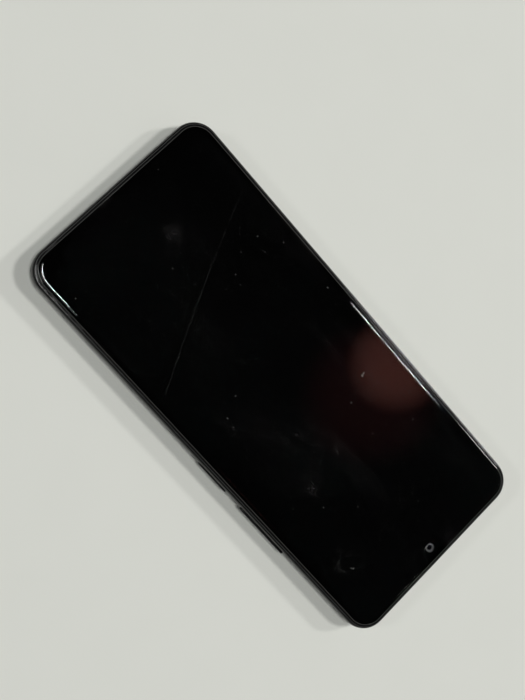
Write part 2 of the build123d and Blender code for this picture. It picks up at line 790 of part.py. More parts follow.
# ---------------------------------------------------------------- rear cameras and flash
# The bezel passes through the rear cover from inside, and a thin flange behind the cover holds it.
flange_reach = 0.35
with BuildPart() as camera_bezel:
    rounded_plate((island_x, island_y), (island_width, island_length), island_radius, (0, rear_floor_z))
    fillet(camera_bezel.faces().sort_by(Axis.Z)[0].edges(), radius=0.3)
    rounded_plate(
        (island_x, island_y),
        (island_width + 2 * flange_reach, island_length + 2 * flange_reach),
        island_radius + flange_reach,
        (rear_floor_z, rear_floor_z + 0.12),
    )
    rounded_plate(
        (island_x, island_y),
        (island_width - 2.4, island_length - 2.4),
        island_radius - 1.2,
        (-1, 0.75),
        Mode.SUBTRACT,
    )
    for lens_x, lens_y, _, lens_radius in [
        main_camera,
        ultrawide_camera_place,
        depth_camera_place,
        macro_camera_place,
    ]:
        post(lens_x, lens_y, (0, 2), lens_radius + 0.5, Mode.SUBTRACT)
    post(flash_place[0], flash_place[1], (0, 2), 2.3, Mode.SUBTRACT)
write_step(camera_bezel, "camera_bezel")

with BuildPart() as camera_window:
    rounded_plate(
        (island_x, island_y),
        (island_width - 2.5, island_length - 2.5),
        island_radius - 1.25,
        (0.15, 0.75),
    )
write_step(camera_window, "camera_window")

with BuildPart() as main_camera_housing:
    main_x, main_y, main_half, main_radius = main_camera
    slab((main_x - main_half, main_x + main_half), (main_y - main_half, main_y + main_half), (2.3, 6.4))
    post(main_x, main_y, (2, 5.2), main_radius + 0.15, Mode.SUBTRACT)
write_step(main_camera_housing, "main_camera_housing")

with BuildPart() as main_camera_barrel:
    post(main_x, main_y, (2.1, 4.9), main_radius)
    post(main_x, main_y, (2, 3.1), 2.6, Mode.SUBTRACT)
write_step(main_camera_barrel, "main_camera_barrel")

with BuildPart() as main_camera_lens:
    post(main_x, main_y, (2.3, 3.1), 2.58)
    fillet(main_camera_lens.faces().sort_by(Axis.Z)[0].edges(), radius=0.5)
write_step(main_camera_lens, "main_camera_lens")


def fixed_camera(place, top_z):
    """A fixed-focus camera: a square module with a round barrel facing the rear."""
    place_x, place_y, module_half, lens_radius = place
    module_x = (place_x - module_half, place_x + module_half)
    module_y = (place_y - module_half, place_y + module_half)
    slab(module_x, module_y, (2.6, top_z))
    post(place_x, place_y, (1.7, 2.6), lens_radius)
    post(place_x, place_y, (1.6, 2.1), lens_radius - 0.6, Mode.SUBTRACT)


with BuildPart() as ultrawide_camera:
    fixed_camera(ultrawide_camera_place, 6)
write_step(ultrawide_camera, "ultrawide_camera")

with BuildPart() as depth_camera:
    fixed_camera(depth_camera_place, 5)
write_step(depth_camera, "depth_camera")

with BuildPart() as macro_camera:
    fixed_camera(macro_camera_place, 5)
write_step(macro_camera, "macro_camera")

with BuildPart() as flash_led:
    with Locations((flash_place[0], flash_place[1], 2.7)):
        Box(3, 3, 0.8)
write_step(flash_led, "flash_led")

with BuildPart() as flash_diffuser:
    post(flash_place[0], flash_place[1], (0.75, 2.2), 2.2)
write_step(flash_diffuser, "flash_diffuser")
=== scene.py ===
import json
import math
import random

import bmesh
import bpy
from mathutils import Matrix, Vector


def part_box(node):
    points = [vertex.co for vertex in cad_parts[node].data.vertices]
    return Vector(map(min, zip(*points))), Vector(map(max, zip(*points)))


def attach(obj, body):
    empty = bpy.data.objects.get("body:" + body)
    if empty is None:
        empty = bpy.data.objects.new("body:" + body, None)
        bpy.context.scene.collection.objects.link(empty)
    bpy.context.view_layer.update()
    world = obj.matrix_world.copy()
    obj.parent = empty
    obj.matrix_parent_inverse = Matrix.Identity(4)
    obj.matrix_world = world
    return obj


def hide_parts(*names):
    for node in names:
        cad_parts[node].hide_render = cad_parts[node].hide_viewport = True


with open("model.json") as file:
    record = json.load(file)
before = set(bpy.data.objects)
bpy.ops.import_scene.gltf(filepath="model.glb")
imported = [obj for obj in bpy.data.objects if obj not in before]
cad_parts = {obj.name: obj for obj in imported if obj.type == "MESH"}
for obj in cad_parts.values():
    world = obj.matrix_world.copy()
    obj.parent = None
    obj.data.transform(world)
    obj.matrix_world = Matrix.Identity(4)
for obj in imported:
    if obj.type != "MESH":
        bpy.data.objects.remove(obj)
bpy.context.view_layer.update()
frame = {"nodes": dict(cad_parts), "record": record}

# A large-screen smartphone lying on its back, in the frame of its CAD model: +X is the side with the
# keys, +Y is the top end, +Z comes out of the screen. Lengths are in metres, written as numbers of mm.

MM = 0.001
NODES = frame["nodes"]

# ---------------------------------------------------------------- camera, lights and room
VIEW_PLACE = Vector((72.95, -93.1, 377.8)) * MM
VIEW_TARGET = Vector((-3.82, -10.6, 0.0)) * MM
VIEW_UP = Vector((-0.6815, -0.7315, -0.0212))
VIEW_SENSOR_MM = 36.0
VIEW_LENS_MM = 60.44
VIEW_NEAR, VIEW_FAR = 0.01, 20.0


def add_camera():
    """The photograph's viewing angle: from above, off toward the phone's lower right corner."""
    back = (VIEW_PLACE - VIEW_TARGET).normalized()
    right = VIEW_UP.cross(back).normalized()
    up = back.cross(right)
    data = bpy.data.cameras.new("camera")
    data.sensor_width = VIEW_SENSOR_MM
    data.lens = VIEW_LENS_MM
    data.clip_start = VIEW_NEAR
    data.clip_end = VIEW_FAR
    camera = bpy.data.objects.new("camera", data)
    bpy.context.scene.collection.objects.link(camera)
    axes = Matrix((right, up, back)).transposed()
    camera.matrix_world = Matrix.LocRotScale(VIEW_PLACE, axes, None)
    bpy.context.scene.camera = camera


# The lights: name, direction from the phone, distance and disk size in metres, power in watts, colour.
WARM_WHITE = (1.0, 0.99, 0.97)
COOL_WHITE = (0.99, 1.0, 0.985)
LIGHTS = [
    ("key_light", (-0.48, 0.33, 1.0), 3.0, 0.40, 29.0, WARM_WHITE),
    ("side_light", (-1.08, 0.67, 1.0), 3.2, 0.30, 21.6, WARM_WHITE),
    ("overhead_light", (0.03, -0.04, 1.0), 3.0, 0.62, 36.0, COOL_WHITE),
    ("near_light", (0.75, -0.98, 1.0), 3.2, 0.40, 9.5, COOL_WHITE),
]


def add_area_light(name, direction, distance, size, power, colour):
    """A round soft light that looks at the phone from a direction."""
    data = bpy.data.lights.new(name, "AREA")
    data.shape = "DISK"
    data.size = size
    data.energy = power
    data.color = colour
    light = bpy.data.objects.new(name, data)
    bpy.context.scene.collection.objects.link(light)
    light.location = Vector(direction).normalized() * distance
    light.rotation_euler = (-light.location).to_track_quat("-Z", "Y").to_euler()


# What the glossy surfaces see round the phone, as soft round patches: direction, the two angles in
# degrees within which a patch is full and beyond which it is gone, and its colour.
PALE_WALL = ((-0.71, 0.65, 0.22), 24, 44, (0.30, 0.31, 0.29))
WARM_PATCH = ((-0.265, 0.290, 0.919), 0.0, 2.6, (0.29, 0.104, 0.084))
WARM_TAIL = ((-0.232, 0.296, 0.927), 0.0, 3.8, (0.036, 0.012, 0.013))
LAMP_ANGLES = (0.9, 1.5)
LAMP_COLOUR = (9.0, 8.8, 8.2)
LAMPS = [
    (0.56, -0.02, 0.83),
    (-0.74, -0.29, 0.61),
    (-0.20, -0.59, 0.78),
    (-0.83, 0.12, 0.56),
    (-0.15, 0.73, 0.67),
    (0.25, 0.62, 0.74),
    (0.06, 0.68, 0.73),
]
DARK_ROOM = (0.005, 0.005, 0.005)

# A colour mix node's sockets by number, because it has several with the same name.
MIX_FACTOR, MIX_FIRST, MIX_SECOND, MIX_RESULT = 0, 6, 7, 2


def add_room():
    """A dark room with a pale wall, a dim warm patch with a faint tail, and small ceiling lamps."""
    world = bpy.data.worlds.new("room")
    bpy.context.scene.world = world
    world.use_nodes = True
    tree = world.node_tree
    tree.nodes.clear()
    coords = tree.nodes.new("ShaderNodeTexCoord")
    patches = [PALE_WALL, WARM_TAIL, WARM_PATCH]
    patches += [(lamp, *LAMP_ANGLES, LAMP_COLOUR) for lamp in LAMPS]
    colour = (*DARK_ROOM, 1)
    for direction, full_angle, end_angle, patch_colour in patches:
        dot = tree.nodes.new("ShaderNodeVectorMath")
        dot.operation = "DOT_PRODUCT"
        tree.links.new(coords.outputs["Generated"], dot.inputs[0])
        dot.inputs[1].default_value = Vector(direction).normalized()
        fade = tree.nodes.new("ShaderNodeMapRange")
        fade.interpolation_type = "SMOOTHSTEP"
        tree.links.new(dot.outputs["Value"], fade.inputs["Value"])
        fade.inputs["From Min"].default_value = math.cos(math.radians(end_angle))
        fade.inputs["From Max"].default_value = math.cos(math.radians(full_angle))
        mix = tree.nodes.new("ShaderNodeMix")
        mix.data_type = "RGBA"
        tree.links.new(fade.outputs["Result"], mix.inputs[MIX_FACTOR])
        if isinstance(colour, tuple):
            mix.inputs[MIX_FIRST].default_value = colour
        else:
            tree.links.new(colour, mix.inputs[MIX_FIRST])
        mix.inputs[MIX_SECOND].default_value = (*patch_colour, 1)
        colour = mix.outputs[MIX_RESULT]
    background = tree.nodes.new("ShaderNodeBackground")
    tree.links.new(colour, background.inputs["Color"])
    output = tree.nodes.new("ShaderNodeOutputWorld")
    tree.links.new(background.outputs[0], output.inputs[0])


# ---------------------------------------------------------------- materials
class Shader:
    """A node material with one Principled shader, and short ways to add nodes to it."""

    def __init__(self, name, base, roughness, metallic=0.0, ior=1.5):
        self.material = bpy.data.materials.new(name)
        self.material.use_nodes = True
        self.tree = self.material.node_tree
        self.bsdf = self.tree.nodes["Principled BSDF"]
        self.bsdf.inputs["Base Color"].default_value = (*base, 1)
        self.bsdf.inputs["Roughness"].default_value = roughness
        self.bsdf.inputs["Metallic"].default_value = metallic
        self.bsdf.inputs["IOR"].default_value = ior
        self.place = self.tree.nodes.new("ShaderNodeTexCoord").outputs["Object"]

    def add(self, kind, **inputs):
        node = self.tree.nodes.new("ShaderNode" + kind)
        for key, value in inputs.items():
            self.feed(node.inputs[key.replace("_", " ")], value)
        return node

    def feed(self, socket, value):
        if hasattr(value, "links"):
            self.tree.links.new(value, socket)
        else:
            socket.default_value = value

    def noise(self, scale_mm, detail=3.0, stretch=(1, 1, 1)):
        """Soft noise whose features are about scale_mm across."""
        mapping = self.add("Mapping", Vector=self.place)
        mapping.inputs["Scale"].default_value = stretch
        scale = 1 / (scale_mm * MM)
        return self.add("TexNoise", Vector=mapping.outputs[0], Scale=scale, Detail=detail).outputs["Fac"]

    def span(self, value, low, high, to_low=0.0, to_high=1.0):
        """A value between low and high, spread over another range and clamped."""
        node = self.tree.nodes.new("ShaderNodeMapRange")
        self.feed(node.inputs["Value"], value)
        limits = {"From Min": low, "From Max": high, "To Min": to_low, "To Max": to_high}
        for key, number in limits.items():
            node.inputs[key].default_value = number
        return node.outputs["Result"]

    def math(self, operation, first, second=0.0):
        node = self.tree.nodes.new("ShaderNodeMath")
        node.operation = operation
        self.feed(node.inputs[0], first)
        self.feed(node.inputs[1], second)
        return node.outputs[0]

    def blend_colour(self, factor, first, second):
        node = self.tree.nodes.new("ShaderNodeMix")
        node.data_type = "RGBA"
        self.feed(node.inputs[MIX_FACTOR], factor)
        for index, value in ((MIX_FIRST, first), (MIX_SECOND, second)):
            self.feed(node.inputs[index], (*value, 1) if isinstance(value, tuple) else value)
        return node.outputs[MIX_RESULT]

    def axes(self):
        """The X, Y and Z of the surface point, in metres."""
        return self.add("SeparateXYZ", Vector=self.place).outputs

    def painted_highlight_band(self, low, high):
        """Mask for painted highlights: 1 on rounded edges that face up between two slopes, 0 on flat faces
        and upright walls.
        """
        facing = self.tree.nodes.new("ShaderNodeNewGeometry").outputs["True Normal"]
        up = self.add("SeparateXYZ", Vector=facing).outputs[2]
        steep = self.span(up, low, low + 0.05)
        return self.math("MULTIPLY", steep, self.span(up, high, high - 0.03))

    def colour(self, value):
        self.feed(self.bsdf.inputs["Base Color"], value)

    def rough(self, value):
        self.feed(self.bsdf.inputs["Roughness"], value)

    def bump(self, height, depth_mm):
        node = self.add("Bump", Height=height, Distance=depth_mm * MM, Strength=1.0)
        self.feed(self.bsdf.inputs["Normal"], node.outputs[0])


def moulded(name, base, roughness, grain_mm=0.25, depth_mm=0.004, variation=0.25):
    """Moulded or painted plastic: slight colour drift, uneven gloss and a fine skin."""
    shader = Shader(name, base, roughness)
    drift = shader.noise(9.0)
    darker = tuple(channel * (1 - variation) for channel in base)
    lighter = tuple(min(1.0, channel * (1 + variation)) for channel in base)
    shader.colour(shader.blend_colour(drift, darker, lighter))
    shader.rough(shader.span(shader.noise(2.5), 0.3, 0.7, roughness * 0.85, min(1.0, roughness * 1.2)))
    shader.bump(shader.noise(grain_mm, 2.0), depth_mm)
    return shader


def metal(name, base, roughness, along=(1, 18, 18), grain_mm=1.2, depth_mm=0.002):
    """Sheet or turned metal with a drawn grain along one axis."""
    shader = Shader(name, base, roughness, metallic=1.0)
    grain = shader.noise(grain_mm, 4.0, along)
    darker = tuple(channel * 0.82 for channel in base)
    shader.colour(shader.blend_colour(grain, darker, base))
    shader.rough(shader.span(grain, 0.3, 0.7, roughness * 0.8, min(1.0, roughness * 1.3)))
    shader.bump(grain, depth_mm)
    return shader


def scuffed_satin(name, base, roughness, gloss=0.35):
    """Satin black plastic with faint hairline scuffs and rubbed patches, as on a frame that is carried."""
    shader = Shader(name, base, roughness)
    shader.bsdf.inputs["Specular IOR Level"].default_value = gloss
    rubbed = shader.span(shader.noise(6.0, 5.0), 0.52, 0.72)
    hairs = shader.span(shader.noise(0.5, 3.0, (0.05, 0.05, 1.6)), 0.60, 0.72)
    wear = shader.math("MULTIPLY", rubbed, hairs)
    shader.colour(shader.blend_colour(wear, base, (0.022, 0.022, 0.021)))
    soft = shader.span(rubbed, 0.0, 1.0, roughness, roughness * 1.7)
    shader.rough(shader.math("ADD", soft, shader.math("MULTIPLY", wear, 0.2)))
    shader.bump(shader.noise(0.7, 2.0), 0.0015)
    return shader


MATERIALS = {}


def make_plain_materials():
    """The materials of the record's slots, apart from the glass ones."""
    made = MATERIALS
    made["frame_plastic"] = scuffed_satin("frame_satin_black", (0.0030, 0.0030, 0.0033), 0.20, 0.12)
    made["key_plastic"] = scuffed_satin("key_satin_black", (0.006, 0.006, 0.0065), 0.20, 0.25)
    made["tray_plastic"] = scuffed_satin("tray_satin_black", (0.009, 0.009, 0.0095), 0.34)
    made["bezel_plastic"] = bezel_gloss()
    made["rear_plastic"] = rear_shell()
    made["adhesive"] = moulded("adhesive_black", (0.03, 0.03, 0.03), 0.7)
    made["plate_metal"] = metal("plate_aluminium", (0.60, 0.61, 0.63), 0.42, (4, 1, 4), 0.8)
    made["backlight"] = moulded("backlight_white", (0.72, 0.72, 0.70), 0.6)
    made["display_panel"] = moulded("panel_dark", (0.012, 0.012, 0.014), 0.15, 0.3, 0.001)
    made["flex_film"] = flex_film()
    made["chip_black"] = moulded("chip_epoxy", (0.022, 0.022, 0.023), 0.55, 0.12, 0.003)
    made["camera_black"] = moulded("camera_black", (0.016, 0.016, 0.017), 0.35, 0.15, 0.003)
    made["sheet_steel"] = metal("tinned_steel", (0.56, 0.56, 0.54), 0.32)
    made["port_steel"] = metal("port_steel", (0.36, 0.36, 0.37), 0.28, (18, 1, 18), 0.6)
    made["screw_steel"] = metal("screw_steel", (0.33, 0.33, 0.35), 0.3, (1, 1, 1), 0.3)
    made["mesh_metal"] = woven_mesh()
    made["bezel_metal"] = metal("bezel_anodised", (0.045, 0.046, 0.05), 0.3, (1, 1, 1), 0.2, 0.001)
    made["board_resin"] = board_resin()
    made["connector_plastic"] = moulded("connector_black", (0.03, 0.03, 0.031), 0.5)
    made["cover_plastic"] = moulded("cover_black", (0.045, 0.045, 0.048), 0.6, 0.2, 0.01)
    made["contact_brass"] = metal("gold_plate", (0.83, 0.62, 0.28), 0.3, (1, 1, 1), 0.4)
    made["cable_jacket"] = moulded("cable_black", (0.02, 0.02, 0.02), 0.45)
    made["battery_pouch"] = moulded("battery_wrap", (0.05, 0.05, 0.054), 0.4, 1.4, 0.02)
    made["diaphragm"] = moulded("diaphragm_film", (0.09, 0.09, 0.09), 0.4)
    made["led_yellow"] = moulded("led_phosphor", (0.75, 0.62, 0.12), 0.5)
    made["diffuser"] = frosted()
    made["lens_glass"] = coated_lens()
    made["camera_glass"] = camera_window_glass()


def bezel_gloss():
    """The gloss ring round the glass, black, with a painted highlight on its rounded outer edge."""
    shader = Shader("bezel_gloss_black", (0.004, 0.004, 0.0045), 0.07)
    drift = shader.blend_colour(shader.noise(7.0), (0.003, 0.003, 0.0035), (0.005, 0.005, 0.0055))
    # Painted highlight: the pale colour on the rounded outer edge stands in for the light that edge
    # reflects.
    shader.colour(shader.blend_colour(shader.painted_highlight_band(0.40, 0.93), drift, (0.095, 0.095, 0.092)))
    shader.rough(shader.span(shader.noise(3.0), 0.4, 0.7, 0.05, 0.11))
    return shader


def rear_shell():
    """The rear cover: a deep gloss plastic with a faint flake and long wiping marks."""
    shader = Shader("rear_gloss_black", (0.018, 0.019, 0.022), 0.13)
    shader.bsdf.inputs["Coat Weight"].default_value = 0.5
    shader.bsdf.inputs["Coat Roughness"].default_value = 0.05
    flake = shader.span(shader.noise(0.18, 1.0), 0.62, 0.78)
    shader.colour(shader.blend_colour(flake, (0.016, 0.017, 0.020), (0.045, 0.048, 0.056)))
    wiped = shader.noise(5.0, 4.0, (0.3, 1.4, 1))
    shader.rough(shader.span(wiped, 0.35, 0.75, 0.10, 0.24))
    shader.bump(shader.noise(14.0, 1.0), 0.003)
    return shader


def flex_film():
    """Amber polyimide film with darker tracks that run along it."""
    shader = Shader("flex_polyimide", (0.24, 0.11, 0.03), 0.35)
    wave = shader.add("TexWave", Vector=shader.place, Scale=260.0, Distortion=0.4)
    wave.bands_direction = "X"
    tracks = shader.span(wave.outputs["Fac"], 0.45, 0.55)
    shader.colour(shader.blend_colour(tracks, (0.26, 0.12, 0.035), (0.12, 0.05, 0.018)))
    shader.bump(tracks, 0.01)
    return shader


def board_resin():
    """Solder mask over copper tracks, with small bare pads."""
    shader = Shader("board_solder_mask", (0.012, 0.05, 0.035), 0.3)
    bricks = shader.add("TexBrick", Vector=shader.place, Scale=900.0)
    bricks.inputs["Color1"].default_value = (0.010, 0.045, 0.032, 1)
    bricks.inputs["Color2"].default_value = (0.016, 0.070, 0.048, 1)
    bricks.inputs["Mortar"].default_value = (0.030, 0.110, 0.070, 1)
    shader.colour(bricks.outputs["Color"])
    pads = shader.span(shader.noise(0.9, 0.0), 0.70, 0.72)
    shader.rough(shader.span(pads, 0, 1, 0.32, 0.2))
    shader.bump(bricks.outputs["Fac"], 0.012)
    return shader


def woven_mesh():
    """A fine black acoustic mesh."""
    shader = Shader("acoustic_mesh", (0.02, 0.02, 0.02), 0.5, metallic=0.4)
    checks = shader.add("TexChecker", Vector=shader.place, Scale=5000.0)
    shader.colour(shader.blend_colour(checks.outputs["Fac"], (0.035, 0.035, 0.035), (0.004, 0.004, 0.004)))
    shader.bump(checks.outputs["Fac"], 0.03)
    return shader


def camera_window_glass():
    """Dark tinted glass with a trace of blue and a few wiping marks."""
    shader = Shader("camera_window_tinted", (0.006, 0.007, 0.010), 0.04, ior=1.52)
    shader.bsdf.inputs["Specular Tint"].default_value = (0.80, 0.86, 1.0, 1)
    shader.colour(shader.blend_colour(shader.noise(3.0), (0.004, 0.005, 0.007), (0.009, 0.010, 0.015)))
    shader.rough(shader.span(shader.noise(1.5, 3.0, (0.4, 2.0, 1)), 0.4, 0.8, 0.02, 0.10))
    return shader


def frosted():
    """A frosted lens with fine rings, as over a flash."""
    shader = Shader("flash_frosted", (0.80, 0.78, 0.68), 0.3)
    wave = shader.add("TexWave", Vector=shader.place, Scale=400.0)
    wave.wave_type = "RINGS"
    wave.rings_direction = "Z"
    shader.colour(shader.blend_colour(wave.outputs["Fac"], (0.78, 0.75, 0.60), (0.86, 0.85, 0.80)))
    shader.bump(wave.outputs["Fac"], 0.02)
    return shader


def coated_lens():
    """A small dark lens with a violet-blue coating."""
    shader = Shader("lens_coated", (0.004, 0.004, 0.010), 0.03, ior=1.6)
    shader.bsdf.inputs["Specular Tint"].default_value = (0.55, 0.50, 1.0, 1)
    shader.bsdf.inputs["Coat Weight"].default_value = 0.5
    shader.bsdf.inputs["Coat Roughness"].default_value = 0.02
    shader.colour(shader.blend_colour(shader.noise(1.2, 1.0), (0.003, 0.003, 0.008), (0.010, 0.008, 0.022)))
    return shader


# ---------------------------------------------------------------- the stage is set
bpy.context.scene.view_settings.view_transform = "Standard"
add_camera()
add_room()
for light_values in LIGHTS:
    add_area_light(*light_values)
make_plain_materials()

# ---------------------------------------------------------------- floor
FLOOR_HALF = 1.6


def add_floor():
    """A large pale table top with a very faint texture."""
    mesh = bpy.data.meshes.new("floor")
    half = FLOOR_HALF
    corners = [(-half, -half, 0), (half, -half, 0), (half, half, 0), (-half, half, 0)]
    mesh.from_pydata(corners, [], [(0, 1, 2, 3)])
    floor = bpy.data.objects.new("floor", mesh)
    bpy.context.scene.collection.objects.link(floor)
    shader = Shader("table_top", (0.70, 0.71, 0.67), 0.85)
    shader.bsdf.inputs["Specular IOR Level"].default_value = 0.15
    shader.colour(shader.blend_colour(shader.noise(22.0, 4.0), (0.685, 0.695, 0.655), (0.705, 0.715, 0.675)))
    shader.bump(shader.noise(0.8, 2.0), 0.01)
    mesh.materials.append(shader.material)


add_floor()

# ---------------------------------------------------------------- shape helpers
CORNER_STEPS = 20
SHARP_DEGREES = 50
FLAT_SLOPE = 0.999


def rounded_outline(half_x, half_y, radius, steps=CORNER_STEPS):
    """The points of a rounded rectangle, anticlockwise from the upper end of its +X side."""
    points = []
    centers = [(half_x - radius, half_y - radius), (radius - half_x, half_y - radius)]
    centers += [(radius - half_x, radius - half_y), (half_x - radius, radius - half_y)]
    for quarter, (center_x, center_y) in enumerate(centers):
        for step in range(steps + 1):
            angle = math.radians(90 * (quarter + step / steps))
            points.append((center_x + radius * math.cos(angle), center_y + radius * math.sin(angle)))
    return points


def inset_loop(points, inset):
    """A closed anticlockwise loop moved inward along its corners' mitres."""
    moved = []
    count = len(points)
    for index in range(count):
        before, here, after = (Vector(points[(index + k) % count]) for k in (-1, 0, 1))
        first = (here - before).normalized()
        second = (after - here).normalized()
        inward_a = Vector((-first.y, first.x))
        inward_b = Vector((-second.y, second.x))
        middle = (inward_a + inward_b).normalized()
        reach = inset / max(0.4, middle.dot(inward_a))
        moved.append(tuple(here + middle * reach))
    return moved


def circle_loop(center, radius, steps=48):
    """A circle's points, anticlockwise."""
    turns = [2 * math.pi * step / steps for step in range(steps)]
    return [(center[0] + radius * math.cos(turn), center[1] + radius * math.sin(turn)) for turn in turns]


def shade(data):
    """Smooth shading on the curved faces only, so that the flat ones stay optically flat."""
    data.set_sharp_from_angle(angle=math.radians(SHARP_DEGREES))
    for polygon in data.polygons:
        polygon.use_smooth = abs(polygon.normal.z) < FLAT_SLOPE


def link(name, data):
    """Puts mesh data into the scene as an object."""
    piece = bpy.data.objects.new(name, data)
    bpy.context.scene.collection.objects.link(piece)
    return piece


def finish_solid(name, mesh):
    """Makes a shaded object of a closed bmesh, and frees the bmesh."""
    bmesh.ops.recalc_face_normals(mesh, faces=mesh.faces)
    data = bpy.data.meshes.new(name)
    mesh.to_mesh(data)
    mesh.free()
    shade(data)
    return link(name, data)


def bevelled_plate(name, outline, profile, holes=()):
    """A closed plate: the outline drawn in by each (inset, z) of the profile, from low to high, with
    flat ends and round holes. Holes are loops that go straight through."""
    mesh = bmesh.new()
    loops = [inset_loop(outline, inset) for inset, z in profile]
    rings = [[mesh.verts.new((x, y, z)) for x, y in loop] for loop, (inset, z) in zip(loops, profile)]
    low_z = profile[0][1]
    high_z = profile[-1][1]
    hole_rings = [
        ([mesh.verts.new((x, y, low_z)) for x, y in loop], [mesh.verts.new((x, y, high_z)) for x, y in loop])
        for loop in holes
    ]
    for lower, upper in list(zip(rings, rings[1:])) + [(low, high) for low, high in hole_rings]:
        count = len(lower)
        for index in range(count):
            after = (index + 1) % count
            mesh.faces.new((lower[index], lower[after], upper[after], upper[index]))
    low_end = [rings[0]] + [low for low, high in hole_rings]
    high_end = [rings[-1]] + [high for low, high in hole_rings]
    for end in (low_end, high_end):
        edges = []
        for ring in end:
            edges += [mesh.edges.get(pair) for pair in zip(ring, ring[1:] + ring[:1])]
        bmesh.ops.triangle_fill(mesh, edges=edges, use_beauty=True)
    return finish_solid(name, mesh)


def turned(name, profile, center, steps=64):
    """A solid of revolution about Z through a centre: a closed (radius, z) profile."""
    mesh = bmesh.new()
    rings = []
    for radius, z in profile:
        loop = circle_loop(center, radius, steps)
        rings.append([mesh.verts.new((x, y, z)) for x, y in loop])
    for index, ring in enumerate(rings):
        following = rings[(index + 1) % len(rings)]
        for step in range(steps):
            after = (step + 1) % steps
            mesh.faces.new((ring[step], ring[after], following[after], following[step]))
    return finish_solid(name, mesh)


def dress(piece, shader, body="body"):
    """Gives a new piece its material and the body it rides on."""
    piece.data.materials.append(shader.material)
    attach(piece, body)
    return piece


# ---------------------------------------------------------------- glass front
GLASS_LOW, GLASS_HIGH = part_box("cover_glass")
PLAN_RADIUS = 8.4 * MM
GLASS_RADIUS = PLAN_RADIUS - 1.5 * MM
GLASS_ROUNDING = 0.45 * MM
CAMERA_LOW, CAMERA_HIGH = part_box("front_camera")
FRONT_CAMERA = ((CAMERA_LOW.x + CAMERA_HIGH.x) / 2, (CAMERA_LOW.y + CAMERA_HIGH.y) / 2)
CLEAR_RADIUS = 1.7 * MM
WINDOW_GAP = 0.004 * MM
WINDOW_STEP = 0.04 * MM
# The black border round the display's area, measured from the glass's edge.
SIDE_BORDER = 2.25 * MM
CHIN_BORDER = 6.3 * MM
TOP_BORDER = 2.3 * MM
BORDER_BLUR = 0.05 * MM


def rounded_profile(low_z, high_z, rounding, steps=8):
    """Insets and heights for a plate with a small lower chamfer and a rounded upper edge."""
    small = rounding * 0.2
    profile = [(small, low_z), (0.0, low_z + small)]
    for step in range(steps + 1):
        angle = math.radians(90 * step / steps)
        profile.append((rounding * (1 - math.cos(angle)), high_z - rounding * (1 - math.sin(angle))))
    profile.append((rounding * 1.1, high_z))
    return profile


# Finger smudges: place and radius in mm. A smudge is full over the core, a share of its radius.
SMUDGES = [(8, 14, 9), (6, 27, 8), (17, 32, 7), (-21, 20, 8), (24, 60, 7), (-4, -60, 8)]
SMUDGE_CORE = 0.2


def smudges(shader):
    """How greasy the glass is at each point: broken soft patches and wiping marks that run along."""
    x, y, _ = shader.axes()
    total = None
    for center_x, center_y, radius in SMUDGES:
        away_x = shader.math("SUBTRACT", x, center_x * MM)
        away_y = shader.math("SUBTRACT", y, center_y * MM)
        squared_x = shader.math("MULTIPLY", away_x, away_x)
        squared_y = shader.math("MULTIPLY", away_y, away_y)
        away = shader.math("SQRT", shader.math("ADD", squared_x, squared_y))
        patch = shader.span(away, radius * MM, SMUDGE_CORE * radius * MM)
        total = patch if total is None else shader.math("MAXIMUM", total, patch)
    broken = shader.span(shader.noise(5.0, 5.0, (1.3, 0.7, 1)), 0.42, 0.85)
    wiped = shader.span(shader.noise(16.0, 4.0, (2.2, 0.5, 1)), 0.56, 0.78, 0.0, 0.28)
    return shader.math("MAXIMUM", shader.math("MULTIPLY", total, broken), wiped)


def printed_glass():
    """Polished glass with black print behind it: the display's area is a shade lighter than its border,
    faintly green, and carries a thin film of grease from fingers. Its rounded edge carries a painted
    highlight."""
    shader = Shader("front_glass_printed", (0.0010, 0.0010, 0.0011), 0.02, ior=1.5)
    x, y, _ = shader.axes()
    half_x = GLASS_HIGH.x - SIDE_BORDER
    low_y = GLASS_LOW.y + CHIN_BORDER
    high_y = GLASS_HIGH.y - TOP_BORDER
    inside = shader.span(shader.math("ABSOLUTE", x), half_x, half_x - BORDER_BLUR)
    inside = shader.math("MULTIPLY", inside, shader.span(y, low_y, low_y + BORDER_BLUR))
    inside = shader.math("MULTIPLY", inside, shader.span(y, high_y, high_y - BORDER_BLUR))
    tint = shader.span(shader.noise(26.0, 3.0), 0.42, 0.62)
    tone = shader.blend_colour(tint, (0.0006, 0.0007, 0.0007), (0.0008, 0.0016, 0.0013))
    face = shader.blend_colour(inside, (0.0002, 0.0002, 0.0002), tone)
    face = shader.blend_colour(smudges(shader), face, (0.030, 0.028, 0.029))
    # Painted highlight: a pale band on the glass's rounded edge stands in for the light it reflects.
    shader.colour(shader.blend_colour(shader.painted_highlight_band(0.45, 0.975), face, (0.040, 0.040, 0.038)))
    shader.rough(shader.span(shader.noise(12.0, 3.0), 0.4, 0.8, 0.015, 0.05))
    return shader


def clear_glass(name):
    """Clear polished glass."""
    shader = Shader(name, (1, 1, 1), 0.01, ior=1.5)
    shader.bsdf.inputs["Transmission Weight"].default_value = 1.0
    shader.rough(shader.span(shader.noise(2.0), 0.4, 0.8, 0.0, 0.008))
    return shader


def add_cover_glass():
    """The front glass, with a clear window through its print at the camera."""
    shader = printed_glass()
    outline = rounded_outline(GLASS_HIGH.x, GLASS_HIGH.y, GLASS_RADIUS)
    profile = rounded_profile(GLASS_LOW.z, GLASS_HIGH.z, GLASS_ROUNDING)
    glass = bevelled_plate("cover_glass_front", outline, profile, [circle_loop(FRONT_CAMERA, CLEAR_RADIUS)])
    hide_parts("cover_glass")
    dress(glass, shader)
    window = bevelled_plate(
        "front_camera_window",
        circle_loop(FRONT_CAMERA, CLEAR_RADIUS - WINDOW_GAP),
        [(0, GLASS_LOW.z + WINDOW_STEP), (0, GLASS_HIGH.z)],
    )
    dress(window, clear_glass("camera_clear_glass"))


RING_OUTER = 1.50 * MM
RING_INNER_LOW = 1.02 * MM
RING_INNER_HIGH = 0.94 * MM
RING_LIFT = 0.002 * MM
RING_THICKNESS = 0.03 * MM


